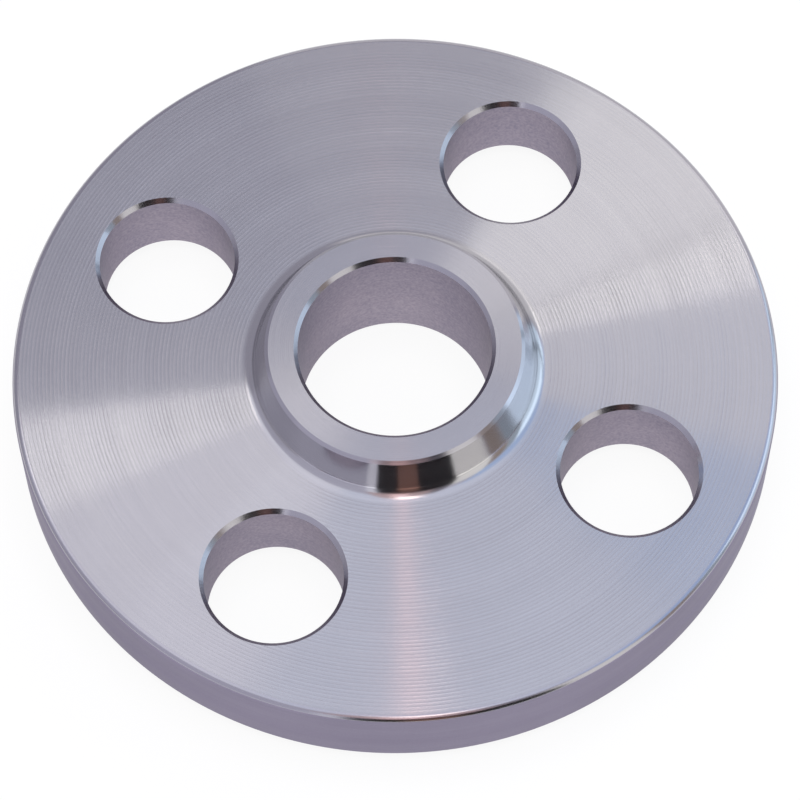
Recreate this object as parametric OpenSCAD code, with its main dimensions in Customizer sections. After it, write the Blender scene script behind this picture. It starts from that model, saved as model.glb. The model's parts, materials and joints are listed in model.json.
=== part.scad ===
// Slip-on pipe flange, one piece of turned and drilled steel.
// It lies on its raised face with the hub up, and the origin is the centre of that face.

/* [Plate] */
// Outside diameter of the plate
plate_d = 88.9; // [82:0.1:120]
// Thickness of the plate, without its hub and its raised face
plate_t = 10.2; // [5:0.1:20]
// Radius of the rounded edge between the rim and the bolting face
rim_round = 0.8; // [0.2:0.1:1.6]
// Width of the chamfer between the rim and the joint side
rim_chamfer = 0.5; // [0.2:0.1:1.6]

/* [Raised face] */
// Diameter of the raised face that the gasket seals on
face_d = 34.9; // [30:0.1:42]
// Height of the raised face
face_h = 1.6; // [0.5:0.1:3]
// Width of the chamfer on the edge of the raised face
face_chamfer = 0.2; // [0.1:0.1:0.4]

/* [Hub] */
// Height of the hub above the plate
hub_h = 4.5; // [3:0.1:10]
// Diameter of the hub at its top
hub_top_d = 29.8; // [26:0.1:32]
// Diameter that the hub's tapered wall would have at the plate
hub_foot_d = 33.2; // [30.2:0.1:38]
// Radius of the fillet between the hub and the plate
hub_fillet = 1.6; // [0.5:0.1:2.6]
// Width of the chamfer on the hub's top edge
hub_chamfer = 0.3; // [0.1:0.1:0.6]

/* [Bore] */
// Diameter of the bore that the pipe slips into
bore_d = 22.4; // [18:0.1:25]
// Width of the chamfers at both ends of the bore
bore_chamfer = 0.45; // [0.2:0.05:1]

/* [Bolt holes] */
// Number of bolt holes
bolt_holes = 4; // [3:1:5]
// Distance from the rim in to the centre of a bolt hole
bolt_inset = 14.3; // [12:0.1:16]
// Diameter of one bolt hole
bolt_hole_d = 15.9; // [10:0.1:17]
// Width of the chamfers at both ends of a bolt hole
bolt_chamfer = 0.5; // [0.2:0.1:1]

/* [Hidden] */
$fn = 120;
steel_colour = [0.72, 0.72, 0.77];

// Heights, measured from the raised face
plate_foot_z = face_h;
plate_top_z = plate_foot_z + plate_t;
hub_top_z = plate_top_z + hub_h;

// Radii of the turned section
plate_r = plate_d / 2;
face_r = face_d / 2;
hub_top_r = hub_top_d / 2;
hub_foot_r = hub_foot_d / 2;

// How far the hub's wall leans inwards, and where the fillet's arc touches it and the plate
hub_lean = atan((hub_foot_r - hub_top_r) / hub_h);
fillet_r = hub_foot_r + hub_fillet * (1 / cos(hub_lean) - tan(hub_lean));
fillet_z = plate_top_z + hub_fillet;
fillet_wall_r = fillet_r - hub_fillet * cos(hub_lean);
fillet_wall_z = fillet_z - hub_fillet * sin(hub_lean);

// The bolt holes lie on a circle inside the rim and straddle the centre lines
bolt_circle_r = plate_r - bolt_inset;
first_hole_angle = 180 / bolt_holes;
// Every cut runs past its faces by this much
overrun = face_h;

// Half of the plate's section, its rim rounded above and chamfered below
module plate_section() {
    difference() {
        polygon([
            [0, plate_foot_z],
            [plate_r - rim_chamfer, plate_foot_z],
            [plate_r, plate_foot_z + rim_chamfer],
            [plate_r, plate_top_z],
            [0, plate_top_z]
        ]);
        difference() {
            translate([plate_r - rim_round, plate_top_z - rim_round])
                square(rim_round + overrun);
            translate([plate_r - rim_round, plate_top_z - rim_round])
                circle(rim_round);
        }
    }
}

// Half of the hub's section, with the fillet that runs out on the plate
module hub_section() {
    difference() {
        polygon([
            [0, plate_foot_z],
            [fillet_r, plate_foot_z],
            [fillet_r, plate_top_z],
            [fillet_wall_r, fillet_wall_z],
            [hub_top_r + hub_chamfer * tan(hub_lean), hub_top_z - hub_chamfer],
            [hub_top_r - hub_chamfer, hub_top_z],
            [0, hub_top_z]
        ]);
        translate([fillet_r, fillet_z])
            circle(hub_fillet);
    }
}

// Half of the raised face's section, which reaches up into the plate
module face_section() {
    polygon([
        [0, 0],
        [face_r - face_chamfer, 0],
        [face_r, face_chamfer],
        [face_r, plate_foot_z + overrun],
        [0, plate_foot_z + overrun]
    ]);
}

// A through hole from one height to another, with a chamfer at both ends
module chamfered_hole(hole_d, chamfer, from_z, to_z) {
    hole_r = hole_d / 2;
    translate([0, 0, from_z - overrun])
        cylinder(h = to_z - from_z + 2 * overrun, r = hole_r);
    translate([0, 0, to_z - chamfer])
        cylinder(h = chamfer + overrun, r1 = hole_r, r2 = hole_r + chamfer + overrun);
    translate([0, 0, from_z - overrun])
        cylinder(h = chamfer + overrun, r1 = hole_r + chamfer + overrun, r2 = hole_r);
}

// The blank as it leaves the lathe, still without its holes
module turned_blank() {
    rotate_extrude()
        union() {
            plate_section();
            hub_section();
            face_section();
        }
}

module flange() {
    color(steel_colour)
        difference() {
            turned_blank();
            chamfered_hole(bore_d, bore_chamfer, 0, hub_top_z);
            for (hole = [0 : bolt_holes - 1])
                rotate(first_hole_angle + hole * 360 / bolt_holes)
                    translate([bolt_circle_r, 0, 0])
                        chamfered_hole(bolt_hole_d, bolt_chamfer, plate_foot_z, plate_top_z);
        }
}

flange();
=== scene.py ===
# %% [markdown]
# # A slip-on pipe flange, turned and drilled
#
# A flange like this starts as a forged steel blank. A lathe turns both of its faces, its rim and its low
# hub in one setting after another, and a drill then makes the bolt holes. The lesson follows the same
# order: draw the section, spin it, drill it, then give each surface the finish that its tool leaves.
#
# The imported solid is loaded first. It stays as the measure of everything: no size below is guessed where
# the solid can be asked.

import json
import math
import random

import bpy
from mathutils import Matrix, Vector


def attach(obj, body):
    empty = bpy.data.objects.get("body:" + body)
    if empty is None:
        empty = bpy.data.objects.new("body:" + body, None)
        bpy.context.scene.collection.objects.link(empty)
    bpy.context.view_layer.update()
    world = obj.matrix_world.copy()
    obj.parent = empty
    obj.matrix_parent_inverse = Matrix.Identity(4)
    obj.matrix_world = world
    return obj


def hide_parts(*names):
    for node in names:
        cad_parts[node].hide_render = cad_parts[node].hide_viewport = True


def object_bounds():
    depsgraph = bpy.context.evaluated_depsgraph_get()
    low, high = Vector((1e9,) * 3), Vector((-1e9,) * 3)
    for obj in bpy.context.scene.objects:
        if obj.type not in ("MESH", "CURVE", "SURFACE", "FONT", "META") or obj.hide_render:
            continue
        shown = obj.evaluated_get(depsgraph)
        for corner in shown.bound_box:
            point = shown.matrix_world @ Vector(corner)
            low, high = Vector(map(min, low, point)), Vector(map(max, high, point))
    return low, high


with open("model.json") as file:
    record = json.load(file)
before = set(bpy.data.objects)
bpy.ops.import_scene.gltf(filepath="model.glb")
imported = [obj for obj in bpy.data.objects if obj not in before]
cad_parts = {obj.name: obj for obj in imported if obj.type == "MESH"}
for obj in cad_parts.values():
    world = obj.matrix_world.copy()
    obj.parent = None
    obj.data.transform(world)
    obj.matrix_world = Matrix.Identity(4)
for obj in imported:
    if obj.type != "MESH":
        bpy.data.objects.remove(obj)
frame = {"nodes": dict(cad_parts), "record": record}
cad_low, cad_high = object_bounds()
mounts = {mount["name"]: mount for mount in frame["record"]["mounts"]}
print("box of the packed part, in mm:", [round(side * 1000, 2) for side in cad_high - cad_low])

# %% [markdown]
# ## Ask the solid for its sizes
#
# A turned part is all rings, so one question answers most: which heights does the solid have at a given
# radius? The record adds the bore, the bolt circle and the holes, which are its fastening sizes.

# %% Read the turned sizes from the solid
MM = 0.001
TOUCH = 0.002 * MM

solid_vertices = frame["nodes"]["flange"].data.vertices
rings = {(round(math.hypot(v.co.x, v.co.y), 6), round(v.co.z, 6)) for v in solid_vertices}


def heights_at(radius):
    """The lowest and the highest point that the solid has at this radius."""
    found = [z for r, z in rings if abs(r - radius) < TOUCH]
    return min(found), max(found)


bore_radius = mounts["pipe_bore"]["dims"]["r_mm"] * MM
bore_wall = mounts["pipe_bore"]["dims"]["length_mm"] * MM
hole_radius = mounts["bolt_holes"]["dims"]["hole_r_mm"] * MM
hole_count = mounts["bolt_holes"]["dims"]["count"]
bolt_circle_radius = mounts["bolt_holes"]["dims"]["pcd_mm"] / 2 * MM
plate_top = mounts["nut_face"]["pos_m"][2]
hub_top = cad_high.z
plate_radius = cad_high.x
bore_chamfer = (hub_top - bore_wall) / 2
rim_low, rim_high = heights_at(plate_radius)
rim_round = plate_top - rim_high
print("plate radius", plate_radius, "rim from", rim_low, "to", rim_high)

# %% [markdown]
# The few sizes that the solid doesn't give away so easily are repeated from the part's own drawing: the
# raised face, the hub's taper and its fillet, and the edge breaks.

# %% Name the sizes that the drawing gives
face_height = 1.6 * MM
face_radius = 34.9 / 2 * MM
face_chamfer = 0.2 * MM
hub_top_radius = 29.8 / 2 * MM
hub_foot_radius = 33.2 / 2 * MM
hub_fillet = 1.6 * MM
hub_chamfer = 0.3 * MM
hole_chamfer = 0.5 * MM
rim_chamfer = rim_low - face_height
print("the hub stands", round((hub_top - plate_top) / MM, 2), "mm above the plate")

# %% [markdown]
# ## Draw the section
#
# The section is one closed line round the metal, from the bore out over the joint side, up the rim, and
# back over the bolting side and the hub. Arcs come from a formula. The turned faces aren't flat: the
# rounded nose of the tool leaves a shallow hollow at every turn of the work, with a crest between two
# hollows. The eye can count them as ribs where a lamp catches one side of each, so they are drawn as real
# shape and not only painted.

# %% Helpers for arcs and turned faces
ARC_STEP = math.radians(7.5)
HOLLOW_AT = 0.6
DEPTH_WANDER = 0.35
wander = random.Random(7)


def arc(centre, radius, start, end):
    """Points along an arc from one angle to another, both ends included."""
    steps = max(1, round(abs(end - start) / ARC_STEP))
    angles = [start + (end - start) * step / steps for step in range(steps + 1)]
    return [(centre[0] + radius * math.cos(a), centre[1] + radius * math.sin(a)) for a in angles]


def turned_face(start, end, height, feed, depth):
    """A face turned from one radius to another, with crests at its height.

    Each turn of the work leaves one hollow. It lies nearer to the crest outside it, and its depth wanders
    a little from turn to turn.
    """
    turns = max(1, round(abs(end - start) / feed))
    share = HOLLOW_AT if end > start else 1 - HOLLOW_AT
    points = [(start, height)]
    for turn in range(turns):
        cut = depth * wander.uniform(1 - DEPTH_WANDER, 1)
        points.append((start + (end - start) * (turn + share) / turns, height - cut))
        points.append((start + (end - start) * (turn + 1) / turns, height))
    return points


# %% [markdown]
# The parts of the section follow one another in the order in which they meet the tool. The feed is the
# distance from one rib to the next. It is coarse on the plate and fine on the hub's face. On the gasket
# face the cuts are deep, because its serrations bite into the gasket.

# %% Put the section together
PLATE_FEED = 0.45 * MM
BACK_FEED = 0.6 * MM
HUB_FEED = 0.25 * MM
GASKET_FEED = 0.5 * MM
PLATE_DEPTH = 0.012 * MM
BACK_DEPTH = 0.014 * MM
HUB_DEPTH = 0.002 * MM
GASKET_DEPTH = 0.05 * MM

hub_lean = math.atan2(hub_foot_radius - hub_top_radius, hub_top - plate_top)
fillet_centre = (
    hub_foot_radius + hub_fillet * (1 / math.cos(hub_lean) - math.tan(hub_lean)),
    plate_top + hub_fillet,
)
rim_centre = (plate_radius - rim_round, plate_top - rim_round)

bore_edge = bore_radius + bore_chamfer
joint_side = turned_face(bore_edge, face_radius - face_chamfer, 0, GASKET_FEED, -GASKET_DEPTH)
joint_side += [(face_radius, face_chamfer)]
joint_side += turned_face(face_radius, plate_radius - rim_chamfer, face_height, BACK_FEED, -BACK_DEPTH)
rim = [(plate_radius, rim_low)] + arc(rim_centre, rim_round, 0, math.pi / 2)
bolting_side = turned_face(rim_centre[0], fillet_centre[0], plate_top, PLATE_FEED, PLATE_DEPTH)[1:]
fillet = arc(fillet_centre, hub_fillet, -math.pi / 2, hub_lean - math.pi)[1:]
hub_edge = [(hub_top_radius + hub_chamfer * math.tan(hub_lean), hub_top - hub_chamfer)]
hub_face = turned_face(hub_top_radius - hub_chamfer, bore_edge, hub_top, HUB_FEED, HUB_DEPTH)
bore = [(bore_radius, hub_top - bore_chamfer), (bore_radius, bore_chamfer)]

section = joint_side + rim + bolting_side + fillet + hub_edge + hub_face + bore
print("points of the section:", len(section))

# %% [markdown]
# ## Turn the section
#
# By hand this is: add a plane, merge it to one vertex, extrude that vertex along the drawing, close the
# line with F, then spin it about the bore's axis. A screw modifier would do too, but the spin leaves
# plain mesh at once, which the drilling needs. The last ring lands on the first, so doubles are merged
# and the normals recalculated.

# %% Helpers for working in edit mode
SPIN_STEPS = 240
MERGE_GAP = 0.001 * MM


def deselect_everything():
    """Leaves nothing selected, the loaded solid included."""
    if bpy.context.mode != "OBJECT":
        bpy.ops.object.mode_set(mode="OBJECT")
    bpy.ops.object.select_all(action="DESELECT")


def choose(piece, kind, wanted):
    """Enters edit mode with only the vertices, edges or faces selected for which wanted says yes."""
    bpy.ops.object.mode_set(mode="EDIT")
    bpy.ops.mesh.select_mode(type={"vertices": "VERT", "edges": "EDGE", "polygons": "FACE"}[kind])
    bpy.ops.mesh.select_all(action="DESELECT")
    bpy.ops.object.mode_set(mode="OBJECT")
    for part in getattr(piece.data, kind):
        part.select = wanted(part)
    bpy.ops.object.mode_set(mode="EDIT")


def spun(name, outline, steps):
    """Extrudes one vertex along a closed outline and spins it into a solid of revolution."""
    deselect_everything()
    bpy.ops.mesh.primitive_plane_add(size=PLATE_FEED, location=(outline[0][0], 0, outline[0][1]))
    piece = bpy.context.object
    piece.name = piece.data.name = name
    bpy.ops.object.transform_apply(location=True)
    bpy.ops.object.mode_set(mode="EDIT")
    bpy.ops.mesh.merge(type="CENTER")
    for here, there in zip(outline, outline[1:]):
        move = (there[0] - here[0], 0, there[1] - here[1])
        bpy.ops.mesh.extrude_region_move(TRANSFORM_OT_translate={"value": move})
    last = len(outline) - 1
    choose(piece, "vertices", lambda v: v.index in (0, last))
    bpy.ops.mesh.edge_face_add()
    bpy.ops.mesh.select_all(action="SELECT")
    bpy.ops.mesh.spin(steps=steps, angle=2 * math.pi, center=(0, 0, 0), axis=(0, 0, 1))
    bpy.ops.mesh.select_all(action="SELECT")
    bpy.ops.mesh.remove_doubles(threshold=MERGE_GAP)
    bpy.ops.mesh.normals_make_consistent(inside=False)
    bpy.ops.object.mode_set(mode="OBJECT")
    return piece


# %% [markdown]
# The section is now spun into the blank. With 240 steps the rim's corners are too blunt to see.

# %% Spin the blank
blank = spun("flange_turned", section, SPIN_STEPS)
print("blank:", len(blank.data.polygons), "faces")

# %% [markdown]
# ## Drill the bolt holes
#
# A drill and a countersink leave the same shape every time, so the cutter is one function that is called
# at each place of the bolt circle. It is a cylinder as long as the plain wall of the hole, whose two ends
# are extruded and scaled up into the chamfers. One boolean with the joined cutters then drills all the
# holes.

# %% Model the cutter and drill
HOLE_STEPS = 96
FLAT = 0.9
overrun = hole_chamfer
hole_low = face_height + hole_chamfer
hole_high = plate_top - hole_chamfer


def cutter(angle):
    """A drill with a countersink at both ends, at its place on the bolt circle."""
    deselect_everything()
    x, y = bolt_circle_radius * math.cos(angle), bolt_circle_radius * math.sin(angle)
    bpy.ops.mesh.primitive_cylinder_add(
        vertices=HOLE_STEPS,
        radius=hole_radius,
        depth=hole_high - hole_low,
        location=(x, y, (hole_low + hole_high) / 2),
    )
    drill = bpy.context.object
    flare = hole_chamfer + overrun
    widen = (hole_radius + flare) / hole_radius
    for way in (1, -1):
        choose(drill, "polygons", lambda face: face.normal.z * way > FLAT)
        bpy.ops.mesh.extrude_region_move(TRANSFORM_OT_translate={"value": (0, 0, way * flare)})
        bpy.ops.transform.resize(value=(widen, widen, 1))
        bpy.ops.object.mode_set(mode="OBJECT")
    bpy.ops.object.transform_apply(location=True)
    return drill


drills = [cutter(math.pi / hole_count + turn * 2 * math.pi / hole_count) for turn in range(hole_count)]
deselect_everything()
for drill in drills:
    drill.select_set(True)
bpy.context.view_layer.objects.active = drills[0]
bpy.ops.object.join()

deselect_everything()
blank.select_set(True)
bpy.context.view_layer.objects.active = blank
drilling = blank.modifiers.new("drilling", "BOOLEAN")
drilling.operation = "DIFFERENCE"
drilling.solver = "MANIFOLD"
drilling.object = drills[0]
bpy.ops.object.modifier_apply(modifier=drilling.name)
bpy.data.objects.remove(drills[0])
print("drilled:", len(blank.data.polygons), "faces")

# %% [markdown]
# ## Keep the crests crisp
#
# Smooth shading rounds everything below the angle. The crests between two tool hollows are sharp on the
# real face, though their faces meet at only a few degrees, so their edges are chosen by height and marked
# by hand.

# %% Shade the flange
SMOOTH_ANGLE = math.radians(25)
CHORD_SAG = 0.01 * MM
crest_heights = (0, face_height, plate_top, hub_top)

bpy.ops.object.shade_smooth_by_angle(angle=SMOOTH_ANGLE)
blank_vertices = blank.data.vertices


def is_crest(edge):
    """An edge that runs along a crest of a turned face, also where a drill has cut it short."""
    ends = [blank_vertices[index].co for index in edge.vertices]
    radii = [math.hypot(end.x, end.y) for end in ends]
    level = any(all(abs(end.z - height) < TOUCH / 4 for end in ends) for height in crest_heights)
    return level and abs(radii[0] - radii[1]) < CHORD_SAG


choose(blank, "edges", is_crest)
bpy.ops.mesh.mark_sharp()
bpy.ops.object.mode_set(mode="OBJECT")

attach(blank, "root")
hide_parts("flange")

triangles = sum(len(face.vertices) - 2 for face in blank.data.polygons)
print("triangles of the flange:", triangles)

# %% [markdown]
# ## Build the effects that the finishes share
#
# Every surface of the flange is the same steel, but each tool leaves its own marks. Three effects come
# back in more than one finish, so each is a node group, built once and placed with its own values: the
# rings that a lathe tool leaves, the fine grain of the metal with the broad clouds of tone that handling
# leaves on it, and the slopes of the tool's hollows.

# %% Helpers for nodes
def place_node(tree, kind, **settings):
    """Adds a node to a tree and sets its plain settings."""
    node = tree.nodes.new(kind)
    for name, value in settings.items():
        setattr(node, name, value)
    return node


def feed_in(tree, node, **values):
    """Fills a node's inputs by number (n0, n1 ...) with plain values or with other nodes' outputs."""
    for name, value in values.items():
        socket = node.inputs[int(name[1:])]
        if isinstance(value, bpy.types.NodeSocket):
            tree.links.new(value, socket)
        else:
            socket.default_value = value
    return node


def calculate(tree, operation, first, second=0.0, third=0.0, clamp=False):
    """The output of one math node."""
    node = place_node(tree, "ShaderNodeMath", operation=operation, use_clamp=clamp)
    return feed_in(tree, node, n0=first, n1=second, n2=third).outputs[0]


def calculate_vector(tree, operation, **values):
    """The output of one vector math node, which is a plain number for a length."""
    node = feed_in(tree, place_node(tree, "ShaderNodeVectorMath", operation=operation), **values)
    return node.outputs["Value" if operation == "LENGTH" else "Vector"]


def from_bore_axis(tree, place):
    """The part of a place that points away from the bore's axis, and its length."""
    flat = calculate_vector(tree, "MULTIPLY", n0=place, n1=(1, 1, 0))
    return flat, calculate_vector(tree, "LENGTH", n0=flat)


def noise(tree, dimensions, place, scale, detail):
    """The output of a noise texture along a line (1D) or in space (3D)."""
    node = place_node(tree, "ShaderNodeTexNoise", noise_dimensions=dimensions)
    tree.links.new(place, node.inputs["W" if dimensions == "1D" else "Vector"])
    return feed_in(tree, node, n2=scale, n3=detail).outputs[0]


def empty_group(name, takes, gives):
    """A node group with named number sockets, and its two end nodes."""
    group = bpy.data.node_groups.new(name, "ShaderNodeTree")
    for label, value in takes.items():
        socket = group.interface.new_socket(label, in_out="INPUT", socket_type="NodeSocketFloat")
        socket.default_value = value
    for label in gives:
        group.interface.new_socket(label, in_out="OUTPUT", socket_type="NodeSocketFloat")
    return group, place_node(group, "NodeGroupInput"), place_node(group, "NodeGroupOutput")


# %% [markdown]
# The rings follow the distance along the section, which is the radius less the height: that changes on a
# flat face, on an upright wall and on the fillet alike. A little of X and Y is mixed in, so a ring fades
# in and out on its way round, as a real tool mark does, and there is no seam where an angle would start
# again.

# %% The group of lathe marks
MARK_DETAIL = 2
BANDS_PER_MM = 0.35

lathe_marks, start, end = empty_group(
    "lathe_marks", {"Marks per mm": 3.0, "Fading per mm": 0.05}, ("Mark", "Band")
)
where = place_node(lathe_marks, "ShaderNodeTexCoord").outputs["Object"]
flat, radius = from_bore_axis(lathe_marks, where)
parts = feed_in(lathe_marks, place_node(lathe_marks, "ShaderNodeSeparateXYZ"), n0=where)
along = calculate(lathe_marks, "SUBTRACT", radius, parts.outputs["Z"])
along_mm = calculate(lathe_marks, "MULTIPLY", along, 1 / MM)
counted = calculate(lathe_marks, "MULTIPLY", along_mm, start.outputs["Marks per mm"])
fading = calculate(lathe_marks, "MULTIPLY", start.outputs["Fading per mm"], 1 / MM)
round_x = calculate(lathe_marks, "MULTIPLY", parts.outputs["X"], fading)
round_y = calculate(lathe_marks, "MULTIPLY", parts.outputs["Y"], fading)
spot = place_node(lathe_marks, "ShaderNodeCombineXYZ")
feed_in(lathe_marks, spot, n0=counted, n1=round_x, n2=round_y)
mark = noise(lathe_marks, "3D", spot.outputs[0], scale=1, detail=MARK_DETAIL)
band = noise(lathe_marks, "1D", along_mm, scale=BANDS_PER_MM, detail=1)
lathe_marks.links.new(mark, end.inputs["Mark"])
lathe_marks.links.new(band, end.inputs["Band"])
print("group:", lathe_marks.name, len(lathe_marks.nodes), "nodes")

# %% [markdown]
# The grain is too fine to see as a pattern, but without it the metal looks like plastic. The clouds are
# several millimetres wide. Both are noise in the piece's own space, so they run through from one surface
# to the next.

# %% The group of grain and clouds
metal_grain, start, end = empty_group(
    "metal_grain", {"Grains per mm": 4.0, "Clouds per mm": 0.08}, ("Grain", "Cloud")
)
where = place_node(metal_grain, "ShaderNodeTexCoord").outputs["Object"]
for label, detail in (("Grain", 2), ("Cloud", 3)):
    size = calculate(metal_grain, "MULTIPLY", start.outputs[label + "s per mm"], 1 / MM)
    metal_grain.links.new(noise(metal_grain, "3D", where, size, detail), end.inputs[label])
print("group:", metal_grain.name, len(metal_grain.nodes), "nodes")

# %% [markdown]
# The mesh carries the ribs that the eye can count. Between them lie finer hollows, narrower than a
# picture's pixel. The metal in them is nearly a mirror, and their slopes of a few degrees spread what it
# mirrors along the radius, with a clear end on both sides: that makes the fans of bright turned metal. A
# wide blur in the shader's roughness would make fans too, but ones without an edge.
#
# A round tool nose cuts a hollow whose slope runs evenly from one side to the other, so the third group
# turns the distance from the axis into that slope and tips the normal outwards or inwards by it. A lean
# is added, because the trailing side of the nose leaves the longer slope. The sum is made in the piece's
# own space and turned into the world's space at the end.

# %% The group of tool hollows
tool_hollows, start, end = empty_group("tool_hollows", {"Feed in mm": 0.1, "Slope": 0.1, "Lean": 0.0}, ())
tool_hollows.interface.new_socket("Normal", in_out="OUTPUT", socket_type="NodeSocketVector")

place = place_node(tool_hollows, "ShaderNodeTexCoord")
flat, radius = from_bore_axis(tool_hollows, place.outputs["Object"])
outwards = calculate_vector(tool_hollows, "NORMALIZE", n0=flat)
radius_mm = calculate(tool_hollows, "MULTIPLY", radius, 1 / MM)
turns = calculate(tool_hollows, "DIVIDE", radius_mm, start.outputs["Feed in mm"])
across = calculate(tool_hollows, "FRACT", turns)
evenly = calculate(tool_hollows, "MULTIPLY_ADD", across, -2, 1)
sloped = calculate(tool_hollows, "MULTIPLY_ADD", evenly, start.outputs["Slope"], start.outputs["Lean"])
tip = calculate_vector(tool_hollows, "SCALE", n0=outwards, n3=sloped)
summed = calculate_vector(tool_hollows, "ADD", n0=place.outputs["Normal"], n1=tip)
in_world = place_node(
    tool_hollows,
    "ShaderNodeVectorTransform",
    vector_type="NORMAL",
    convert_from="OBJECT",
    convert_to="WORLD",
)
tool_hollows.links.new(summed, in_world.inputs[0])
tool_hollows.links.new(in_world.outputs[0], end.inputs["Normal"])
print("group:", tool_hollows.name, len(tool_hollows.nodes), "nodes")

# %% [markdown]
# ## Give each surface the finish of its tool
#
# All of the finishes are one steel with other numbers, so one function builds them. The hollows give the
# fans their place and their edges, and anisotropy softens them: the tangent runs round the bore's axis
# and is turned by a quarter, so the wide way of the gloss points along the radius. How strong it is stays
# the same all over a surface, so it is a plain number on the shader. What changes from ring to ring, the
# tone, the roughness and a shallow bump, comes from the groups. Noise is a half on average, and the tone
# is shifted so that it is too, half way between the dark and the light steel.

# %% Helper for a steel finish
MARK_SHARE = 0.5
CLOUD_SHARE = 0.7
BAND_RANGE = (0.3, 0.7)
QUARTER_TURN = 0.25


def steel_finish(
    name, dark, light, rough, stretch, marks, grains, bump, fading=0.05, speckle=0.0, edge=1.0, hollows=None
):
    """A bare steel whose tone and roughness run between two values along its tool marks and its grain.

    Marks and grains are counted per mm, and the bump is in mm. The edge is how much light is left at a
    grazing view. The hollows are their feed in mm and, in degrees, their slope and their lean.
    """
    steel = bpy.data.materials.new(name)
    steel.use_nodes = True
    tree = steel.node_tree
    shader = tree.nodes["Principled BSDF"]
    shader.inputs["Metallic"].default_value = 1
    shader.inputs["Anisotropic"].default_value = stretch
    shader.inputs["Anisotropic Rotation"].default_value = QUARTER_TURN
    shader.inputs["Specular Tint"].default_value = (edge, edge, edge, 1)
    tangent = place_node(tree, "ShaderNodeTangent", direction_type="RADIAL", axis="Z")
    tree.links.new(tangent.outputs["Tangent"], shader.inputs["Tangent"])

    turning = feed_in(tree, place_node(tree, "ShaderNodeGroup", node_tree=lathe_marks), n0=marks, n1=fading)
    metal = feed_in(tree, place_node(tree, "ShaderNodeGroup", node_tree=metal_grain), n0=grains)

    shift = (1 - MARK_SHARE - CLOUD_SHARE - speckle) / 2
    marked = calculate(tree, "MULTIPLY_ADD", turning.outputs["Mark"], MARK_SHARE, shift)
    speckled = calculate(tree, "MULTIPLY_ADD", metal.outputs["Grain"], speckle, marked)
    tone = calculate(tree, "MULTIPLY_ADD", metal.outputs["Cloud"], CLOUD_SHARE, speckled, clamp=True)
    colour = place_node(tree, "ShaderNodeMix", data_type="RGBA")
    tree.links.new(tone, colour.inputs[0])
    colour.inputs[6].default_value = (*dark, 1)
    colour.inputs[7].default_value = (*light, 1)
    tree.links.new(colour.outputs[2], shader.inputs["Base Color"])

    gloss = place_node(tree, "ShaderNodeMapRange")
    low, high = BAND_RANGE
    feed_in(tree, gloss, n0=turning.outputs["Band"], n1=low, n2=high, n3=rough[0], n4=rough[1])
    tree.links.new(gloss.outputs[0], shader.inputs["Roughness"])

    relief = calculate(tree, "ADD", turning.outputs["Mark"], metal.outputs["Grain"])
    raised = place_node(tree, "ShaderNodeBump")
    raised.inputs["Strength"].default_value = 1
    raised.inputs["Distance"].default_value = bump * MM
    tree.links.new(relief, raised.inputs["Height"])
    if hollows:
        turned = place_node(tree, "ShaderNodeGroup", node_tree=tool_hollows)
        slope, lean = (math.tan(math.radians(angle)) for angle in hollows[1:])
        feed_in(tree, turned, n0=hollows[0], n1=slope, n2=lean)
        tree.links.new(turned.outputs["Normal"], raised.inputs["Normal"])
    tree.links.new(raised.outputs["Normal"], shader.inputs["Normal"])
    return steel


# %% [markdown]
# The faces are turned with a coarse feed, and the metal between two crests is bright. The hub's face got
# a finer cut. The gasket face underneath has the serrations that a sealing face needs, cut as real shape.

# %% The turned faces
plate_steel = steel_finish(
    "turned_plate", dark=(0.44, 0.435, 0.46), light=(0.52, 0.515, 0.54), rough=(0.11, 0.13),
    stretch=0.8, marks=4, fading=0.04, grains=6, bump=0.0005, hollows=(0.11, 8.5, 3),
)
hub_steel = steel_finish(
    "turned_hub_face", dark=(0.42, 0.413, 0.44), light=(0.5, 0.493, 0.52), rough=(0.12, 0.14),
    stretch=0.8, marks=7, fading=0.06, grains=8, bump=0.0006, hollows=(0.08, 4, 0),
)
gasket_steel = steel_finish(
    "turned_gasket_face", dark=(0.42, 0.415, 0.44), light=(0.52, 0.515, 0.54), rough=(0.14, 0.17),
    stretch=0.8, marks=5, grains=6, bump=0.001, hollows=(0.12, 6, 0),
)

# %% [markdown]
# The hub's tapered wall and the edge of the raised face were cut last, with a light pass, and are nearly
# mirrors. The fillet and the broken edges got the same pass but are duller, and the rounded edge between
# the plate and the rim is the dullest of them.

# %% The smooth wall, the fillet and the edges
taper_steel = steel_finish(
    "smooth_taper", dark=(0.62, 0.61, 0.63), light=(0.7, 0.69, 0.71), rough=(0.1, 0.13),
    stretch=0.7, marks=6, grains=6, bump=0.0004,
)
fillet_steel = steel_finish(
    "blended_fillet", dark=(0.44, 0.435, 0.46), light=(0.52, 0.515, 0.54), rough=(0.13, 0.16),
    stretch=0.7, marks=5, grains=6, bump=0.0006, hollows=(0.11, 4, 0),
)
round_steel = steel_finish(
    "rounded_edge", dark=(0.4, 0.39, 0.43), light=(0.48, 0.47, 0.51), rough=(0.17, 0.21),
    stretch=0.6, marks=5, fading=0.1, grains=5, bump=0.0015, speckle=0.3,
)

# %% [markdown]
# The rim and the drilled walls are duller, because their marks are coarser. Their dark mauve-grey colour is
# a painted reflection: it stands in for a dim lavender room, where the steel really mirrors the white
# floor.
# The drill also leaves a fine speckle, and a greyed edge tint, which is painted shade as well, keeps both
# surfaces dark where they are seen at a slant.

# %% The rim and the drilled walls
# The rim's dark mauve base colour is a painted reflection of a dim room, not the steel's own tone.
painted_dark_rim_steel = steel_finish(
    "turned_rim", dark=(0.26, 0.235, 0.32), light=(0.35, 0.315, 0.42), rough=(0.34, 0.42),
    stretch=0.5, marks=5, fading=0.1, grains=5, bump=0.003, speckle=0.6, edge=0.6,
)
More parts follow.
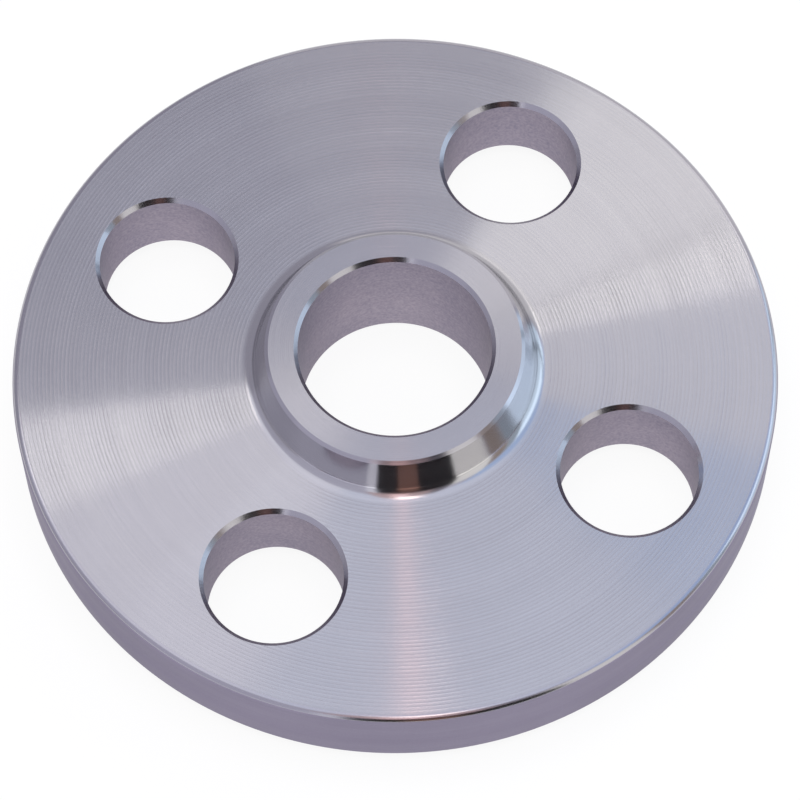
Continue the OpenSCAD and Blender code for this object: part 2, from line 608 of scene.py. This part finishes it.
# The drilled walls' dark mauve base colour is a painted reflection of a dim room as well.
painted_dark_drilled_steel = steel_finish(
    "drilled_wall", dark=(0.26, 0.24, 0.32), light=(0.48, 0.42, 0.49), rough=(0.42, 0.45),
    stretch=0.2, marks=5, fading=0.3, grains=3, bump=0.006, speckle=1.2, edge=0.45,
)

# %% [markdown]
# ## Put each finish on its faces
#
# The flange is one closed mesh, so the finishes go on by selecting faces, as by hand. A face is known by
# its place and by the way that it looks: upright faces near a hole's axis are its wall, sloping ones are
# its chamfer, and so on. On the two rounds the finish changes where the arc looks up far enough. Below
# that, the rim's round takes the rim's painted dark reflection.

# %% Select the faces of each tool and assign
UPRIGHT = 0.1
ROUND_SHINE = 0.55
FILLET_SHINE = 0.6
hole_turns = [math.pi / hole_count + turn * 2 * math.pi / hole_count for turn in range(hole_count)]
hole_centres = [(bolt_circle_radius * math.cos(a), bolt_circle_radius * math.sin(a)) for a in hole_turns]


def from_hole(face):
    """How far a face's middle lies from the nearest bolt hole's axis."""
    return min(math.hypot(face.center.x - x, face.center.y - y) for x, y in hole_centres)


def from_axis(face):
    """How far a face's middle lies from the bore's axis."""
    return math.hypot(face.center.x, face.center.y)


def finish_of(face):
    """The finish that a face takes."""
    way = face.normal.z
    radius, height = from_axis(face), face.center.z
    if abs(way) < UPRIGHT:
        if from_hole(face) < hole_radius + TOUCH or radius < bore_radius + TOUCH:
            return painted_dark_drilled_steel
        return taper_steel if radius < face_radius + TOUCH else painted_dark_rim_steel
    if radius > rim_centre[0] + TOUCH and height > rim_high:
        return round_steel if way > ROUND_SHINE else painted_dark_rim_steel
    if plate_top + TOUCH < height < hub_top - hub_chamfer:
        return fillet_steel if way > FILLET_SHINE else taper_steel
    if abs(way) < FLAT:
        return round_steel
    if height > hub_top - 2 * HUB_DEPTH - TOUCH:
        return hub_steel
    return gasket_steel if height < face_height / 2 else plate_steel


finishes = [plate_steel, hub_steel, gasket_steel, taper_steel, painted_dark_rim_steel, painted_dark_drilled_steel]
finishes += [round_steel, fillet_steel]
blank.data.materials.clear()
for steel in finishes:
    blank.data.materials.append(steel)
for number, steel in enumerate(finishes):
    choose(blank, "polygons", lambda face: finish_of(face) == steel)
    blank.active_material_index = number
    bpy.ops.object.material_slot_assign()
    bpy.ops.object.mode_set(mode="OBJECT")
    print(steel.name, sum(face.material_index == number for face in blank.data.polygons), "faces")

# %% [markdown]
# ## Set up the camera
#
# A long lens from half a metre away keeps the plate's ellipse nearly even. The camera looks down steeply,
# so the bore and the bolt holes show the floor through them and a strip of their own walls. Its numbers
# come from fitting the outlines of the plate, the hub, the bore and the holes in the photograph.

# %% Camera
SENSOR = 36
PHOTO_SIDE = 800
FOCAL_PIXELS = 3756.4
CAMERA_ELEVATION = math.radians(63.84)
CAMERA_AZIMUTH = math.radians(-17.31)
CAMERA_ROLL = math.radians(-0.70)
CAMERA_AWAY = Vector((0.52, 0.286, 445.08)) * MM
CLIP_START = 10 * MM

camera_data = bpy.data.cameras.new("camera")
camera_data.sensor_width = SENSOR
camera_data.lens = FOCAL_PIXELS / PHOTO_SIDE * SENSOR
camera_data.clip_start = CLIP_START
camera = bpy.data.objects.new("camera", camera_data)
bpy.context.scene.collection.objects.link(camera)
turn = Matrix.Rotation(CAMERA_AZIMUTH, 4, "Z") @ Matrix.Rotation(math.pi / 2 - CAMERA_ELEVATION, 4, "X")
turn = turn @ Matrix.Rotation(CAMERA_ROLL, 4, "Z")
camera.matrix_world = Matrix.Translation((0, 0, face_height)) @ turn @ Matrix.Translation(CAMERA_AWAY)
bpy.context.scene.camera = camera
print("lens in mm:", round(camera_data.lens, 1))

# %% [markdown]
# ## Lay the floor
#
# The flange lies on a plain pale floor. The camera, and the steel's own reflections, see it as the white
# background: Light Path's Is Camera Ray, Is Glossy Ray and Is Transmission Ray choose an emission of
# strength one. A tenth of the plain lit floor is kept in the mix, so the flange still stands in its own
# soft shadow. The floor is only a small sheet, because a wide white one mirrors in the steel as a false
# bright line along the horizon. From underneath the sheet is clear, so the joint side can be looked at.

# %% Floor
FLOOR_WIDTH = 0.5
FLOOR_GREY = 0.8
SHADOW_SHARE = 0.1

deselect_everything()
bpy.ops.mesh.primitive_plane_add(size=FLOOR_WIDTH)
floor = bpy.context.object
floor.name = "floor"
paper = bpy.data.materials.new("pale_floor")
paper.use_nodes = True
tree = paper.node_tree
tree.nodes.clear()
path = place_node(tree, "ShaderNodeLightPath")
lit = place_node(tree, "ShaderNodeBsdfDiffuse")
lit.inputs["Color"].default_value = (FLOOR_GREY, FLOOR_GREY, FLOOR_GREY, 1)
white = place_node(tree, "ShaderNodeEmission")
shown = place_node(tree, "ShaderNodeMixShader")
feed_in(tree, shown, n0=SHADOW_SHARE, n1=white.outputs[0], n2=lit.outputs[0])
camera_or_gloss = calculate(tree, "MAXIMUM", path.outputs["Is Camera Ray"], path.outputs["Is Glossy Ray"])
seen = calculate(tree, "MAXIMUM", camera_or_gloss, path.outputs["Is Transmission Ray"])
both = place_node(tree, "ShaderNodeMixShader")
feed_in(tree, both, n0=seen, n1=lit.outputs[0], n2=shown.outputs[0])
out = place_node(tree, "ShaderNodeOutputMaterial")
below = place_node(tree, "ShaderNodeNewGeometry").outputs["Backfacing"]
sheet = place_node(tree, "ShaderNodeMixShader")
clear = place_node(tree, "ShaderNodeBsdfTransparent")
feed_in(tree, sheet, n0=below, n1=both.outputs[0], n2=clear.outputs[0])
tree.links.new(sheet.outputs[0], out.inputs["Surface"])
paper.cycles.emission_sampling = "NONE"
floor.data.materials.append(paper)
print("floor:", FLOOR_WIDTH, "m wide")

# %% [markdown]
# ## Hang the studio round the flange
#
# Bare metal has no colour to show but that of the room. The room here is a plain soft studio: pale walls
# and a pale ceiling, one large window with a cooler light, and a dark corner low behind the camera, which
# the hub's wall mirrors as its black and copper bands. It lives in the world and not in lamps, because a
# world has no noise in metal and hides no view.
#
# Each panel of the room is a mask over two angles, so the mask is one group that is used many times. It
# measures how far a direction lies inside the nearest of the panel's four sides and turns that into a
# soft edge.

# %% The group of a studio panel
HALF_TURN = 180
HALF_EDGE = 0.5

studio_panel, start, end = empty_group(
    "studio_panel",
    {"Round": 0.0, "Up": 0.0, "Middle": 0.0, "Half width": 10.0, "Low": 0.0, "High": 90.0, "Soft": 3.0},
    ("Mask",),
)
turned_off = calculate(studio_panel, "SUBTRACT", start.outputs["Round"], start.outputs["Middle"])
turned_off = calculate(studio_panel, "WRAP", turned_off, HALF_TURN, -HALF_TURN)
aside = calculate(studio_panel, "ABSOLUTE", turned_off)
inside_sides = calculate(studio_panel, "SUBTRACT", start.outputs["Half width"], aside)
above_foot = calculate(studio_panel, "SUBTRACT", start.outputs["Up"], start.outputs["Low"])
below_head = calculate(studio_panel, "SUBTRACT", start.outputs["High"], start.outputs["Up"])
inside_height = calculate(studio_panel, "MINIMUM", above_foot, below_head)
inside = calculate(studio_panel, "MINIMUM", inside_sides, inside_height)
faded = calculate(studio_panel, "DIVIDE", inside, start.outputs["Soft"])
edge = place_node(studio_panel, "ShaderNodeMapRange", interpolation_type="SMOOTHSTEP")
feed_in(studio_panel, edge, n0=faded, n1=-HALF_EDGE, n2=HALF_EDGE)
studio_panel.links.new(edge.outputs[0], end.inputs["Mask"])
print("group:", studio_panel.name, len(studio_panel.nodes), "nodes")

# %% [markdown]
# On the walls the two angles are the compass direction, counted from the picture's right, and the height
# above the horizon. For what stands in the plate's mirror direction they are the angle round that
# direction, flattened as the plate is in the picture, and the distance from it, because that is what a
# turned face shows: a lamp between two angles there becomes a fan between nearly the same two angles on
# the plate. The fan comes out a few degrees off, because the camera stands near.

# %% The two pairs of angles
world = bpy.data.worlds.new("studio")
bpy.context.scene.world = world
world.use_nodes = True
tree = world.node_tree
tree.nodes.clear()
view = place_node(tree, "ShaderNodeTexCoord").outputs["Generated"]
squared_up = place_node(tree, "ShaderNodeVectorRotate", rotation_type="Z_AXIS")
squared_up.inputs["Angle"].default_value = -CAMERA_AZIMUTH
tree.links.new(view, squared_up.inputs["Vector"])
axes = feed_in(tree, place_node(tree, "ShaderNodeSeparateXYZ"), n0=squared_up.outputs[0])
right, far, up = axes.outputs
compass = calculate(tree, "DEGREES", calculate(tree, "ARCTAN2", far, right))
height = calculate(tree, "DEGREES", calculate(tree, "ARCSINE", up))


def far_and_up(far_share, up_share):
    """The sum of two shares of a direction: of how far it points away and of how far up."""
    return calculate(tree, "MULTIPLY_ADD", far, far_share, calculate(tree, "MULTIPLY", up, up_share))


mirror_far, mirror_up = math.cos(CAMERA_ELEVATION), math.sin(CAMERA_ELEVATION)
towards = far_and_up(mirror_far, mirror_up)
across = calculate(tree, "MULTIPLY", far_and_up(mirror_up, -mirror_far), mirror_up)
fan_angle = calculate(tree, "DEGREES", calculate(tree, "ARCTAN2", across, right))
towards = calculate(tree, "MINIMUM", towards, 1)
from_mirror = calculate(tree, "DEGREES", calculate(tree, "ARCCOSINE", towards))

# %% [markdown]
# The panels are hung one over the other, the large ones first. A colour is the light that comes from
# there, and one is white.

# %% Helper to hang a panel
ROOM_TONE = (0.52, 0.5, 0.57)

room = place_node(tree, "ShaderNodeRGB")
room.outputs[0].default_value = (*ROOM_TONE, 1)
room_colours = [room.outputs[0]]


def hang(angles, middle, half_width, low, high, soft, colour):
    """Covers a part of the room with a panel of another colour.

    The angles are the pair that the panel is measured in. It reaches its half width to either side of its
    middle and goes from low to high, with an edge as wide as soft, all in degrees.
    """
    panel = place_node(tree, "ShaderNodeGroup", node_tree=studio_panel)
    feed_in(tree, panel, n0=angles[0], n1=angles[1], n2=middle, n3=half_width, n4=low, n5=high, n6=soft)
    cover = place_node(tree, "ShaderNodeMix", data_type="RGBA")
    tree.links.new(panel.outputs["Mask"], cover.inputs[0])
    tree.links.new(room_colours[-1], cover.inputs[6])
    cover.inputs[7].default_value = (*colour, 1)
    room_colours.append(cover.outputs[2])


def panels_hung():
    """How many panels the room has so far."""
    return len(room_colours) - 1


WALLS = (compass, height)
MIRROR = (fan_angle, from_mirror)
EVERYWHERE = 400

# %% [markdown]
# The large parts come first: the dim wall behind the flange, the paler walls at its sides and the bright
# ceiling. The plate mirrors the border between the far wall and the ceiling, so it darkens from its near
# to its far edge.

# %% Walls and ceiling
hang(WALLS, 105, 60, -EVERYWHERE, EVERYWHERE, 3, (0.47, 0.455, 0.535))
hang(WALLS, 73, 28, -EVERYWHERE, 42, 4, (0.9, 0.88, 0.9))
hang(WALLS, 212, 47, 8, EVERYWHERE, 3, (0.6, 0.59, 0.7))
hang(MIRROR, 295, 90, -EVERYWHERE, EVERYWHERE, 2, (0.68, 0.67, 0.79))
hang(WALLS, 0, EVERYWHERE, 63, EVERYWHERE, 10, (0.97, 1.02, 1.18))
print("walls and ceiling:", panels_hung(), "panels")

# %% [markdown]
# At the right stands a window with cool daylight. The right side of the hub's wall shows it in pale blue,
# and the boards beside it make the cream, brown and grey fields of that wall.

# %% The window's cool side, and the boards beside it
hang(WALLS, 12, 46, 46, 70, 6, (0.62, 0.79, 1.12))
hang(WALLS, 18, 24, 22, 46, 4, (1.45, 1.75, 2.05))
hang(WALLS, 18, 24, -EVERYWHERE, 22, 4, (1.0, 1.2, 1.4))
hang(WALLS, 33, 2, -EVERYWHERE, 46, 2, (0.5, 0.6, 0.7))
hang(WALLS, 316, 13, -EVERYWHERE, 50, 3, (1.2, 1.18, 1.12))
hang(WALLS, 348, 6, -EVERYWHERE, 44, 3, (0.5, 0.58, 0.66))
hang(WALLS, 336, 6, 5, 44, 3, (0.45, 0.37, 0.32))
print("with the window:", panels_hung(), "panels")

# %% [markdown]
# Behind the camera the room is dark, with a warm glow in the middle. The front of the hub's wall looks
# that way and is black with a copper strip, and the edges of the holes pick up the same colours in small.

# %% The dark corner behind the camera, with its warm middle
hang(WALLS, 255, 3, -EVERYWHERE, 50, 2, (1.1, 1.1, 1.2))
hang(WALLS, 297, 9, 42, 70, 3, (0.27, 0.25, 0.29))
hang(WALLS, 282, 24, -EVERYWHERE, 43, 2, (0.03, 0.028, 0.03))
hang(WALLS, 272, 21, 43, 82, 3, (0.75, 0.56, 0.56))
hang(WALLS, 272, 6, 43, 75, 3, (1.5, 1.0, 0.95))
hang(WALLS, 277, 6, -EVERYWHERE, 22, 3, (0.32, 0.17, 0.13))
hang(WALLS, 277, 6, 22, 43, 3, (0.18, 0.1, 0.09))
print("with the dark corner:", panels_hung(), "panels")

# %% [markdown]
# The last panels stand round the plate's mirror direction. One to the right and one to the left make the
# two fans. At the foot of each fan a narrow bright strip hangs farther out, with a dim one inside it. Only
# the steeper slope of each rib sees the bright one, and that draws the ribs there as white lines. A thin
# warm lamp makes the streak that runs to the near edge.

# %% What stands in the mirror direction and makes the fans
hang(MIRROR, 4, 14, -EVERYWHERE, 24, 5, (1.06, 1.04, 1.1))
hang(MIRROR, 41, 23, -EVERYWHERE, 24, 3, (1.22, 1.2, 1.2))
hang(MIRROR, 44, 16, 17, 27, 3, (1.65, 1.6, 1.57))
hang(MIRROR, 23, 5, 8, 17, 1.5, (0.35, 0.35, 0.37))
hang(MIRROR, 23, 5, 17, 27, 1.5, (2.95, 2.86, 2.74))
hang(MIRROR, 213, 32, 26, 48, 5, (1.15, 1.15, 1.25))
hang(MIRROR, 219, 24, -EVERYWHERE, 28, 10, (1.21, 1.2, 1.31))
hang(MIRROR, 200, 18, -EVERYWHERE, 28, 3, (1.09, 1.07, 1.17))
hang(MIRROR, 190, 8, 8, 17, 2, (0.5, 0.49, 0.53))
hang(MIRROR, 190, 8, 17, 27, 2, (2.6, 2.53, 2.48))
hang(MIRROR, 272, 2.4, -EVERYWHERE, 60, 2, (1.65, 1.28, 1.32))
hang(MIRROR, 275, 5, 28, 44, 3, (4.0, 3.3, 3.1))
print("with the fans:", panels_hung(), "panels")

# %% [markdown]
# The camera sees the world as the white background. The steel has to mirror the studio itself: it would
# have no light and no fans to show if the world were white for it too. Bare steel finds this light by
# following its own reflections, so the world isn't sampled as a lamp as well, which would only cost time.

# %% Close the world
path = place_node(tree, "ShaderNodeLightPath")
backdrop = place_node(tree, "ShaderNodeMix", data_type="RGBA")
tree.links.new(path.outputs["Is Camera Ray"], backdrop.inputs[0])
tree.links.new(room_colours[-1], backdrop.inputs[6])
backdrop.inputs[7].default_value = (1, 1, 1, 1)
light = place_node(tree, "ShaderNodeBackground")
tree.links.new(backdrop.outputs[2], light.inputs["Color"])
world_end = place_node(tree, "ShaderNodeOutputWorld")
tree.links.new(light.outputs[0], world_end.inputs["Surface"])
world.cycles.sampling_method = "NONE"
bpy.context.scene.view_settings.view_transform = "Standard"
print("world:", len(tree.nodes), "nodes")

# %% [markdown]
# One large weak lamp hangs overhead. It adds the soft shadow under the rim, which a world alone leaves
# too faint.

# %% The overhead lamp
LAMP_HEIGHT = 0.8
LAMP_WIDTH = 0.5
LAMP_POWER = 4

lamp_data = bpy.data.lights.new("overhead", "AREA")
lamp_data.energy = LAMP_POWER
lamp_data.size = LAMP_WIDTH
lamp = bpy.data.objects.new("overhead", lamp_data)
bpy.context.scene.collection.objects.link(lamp)
lamp.location = (0, 0, LAMP_HEIGHT)
lamp.visible_glossy = False
print("lamp in watts:", lamp_data.energy)
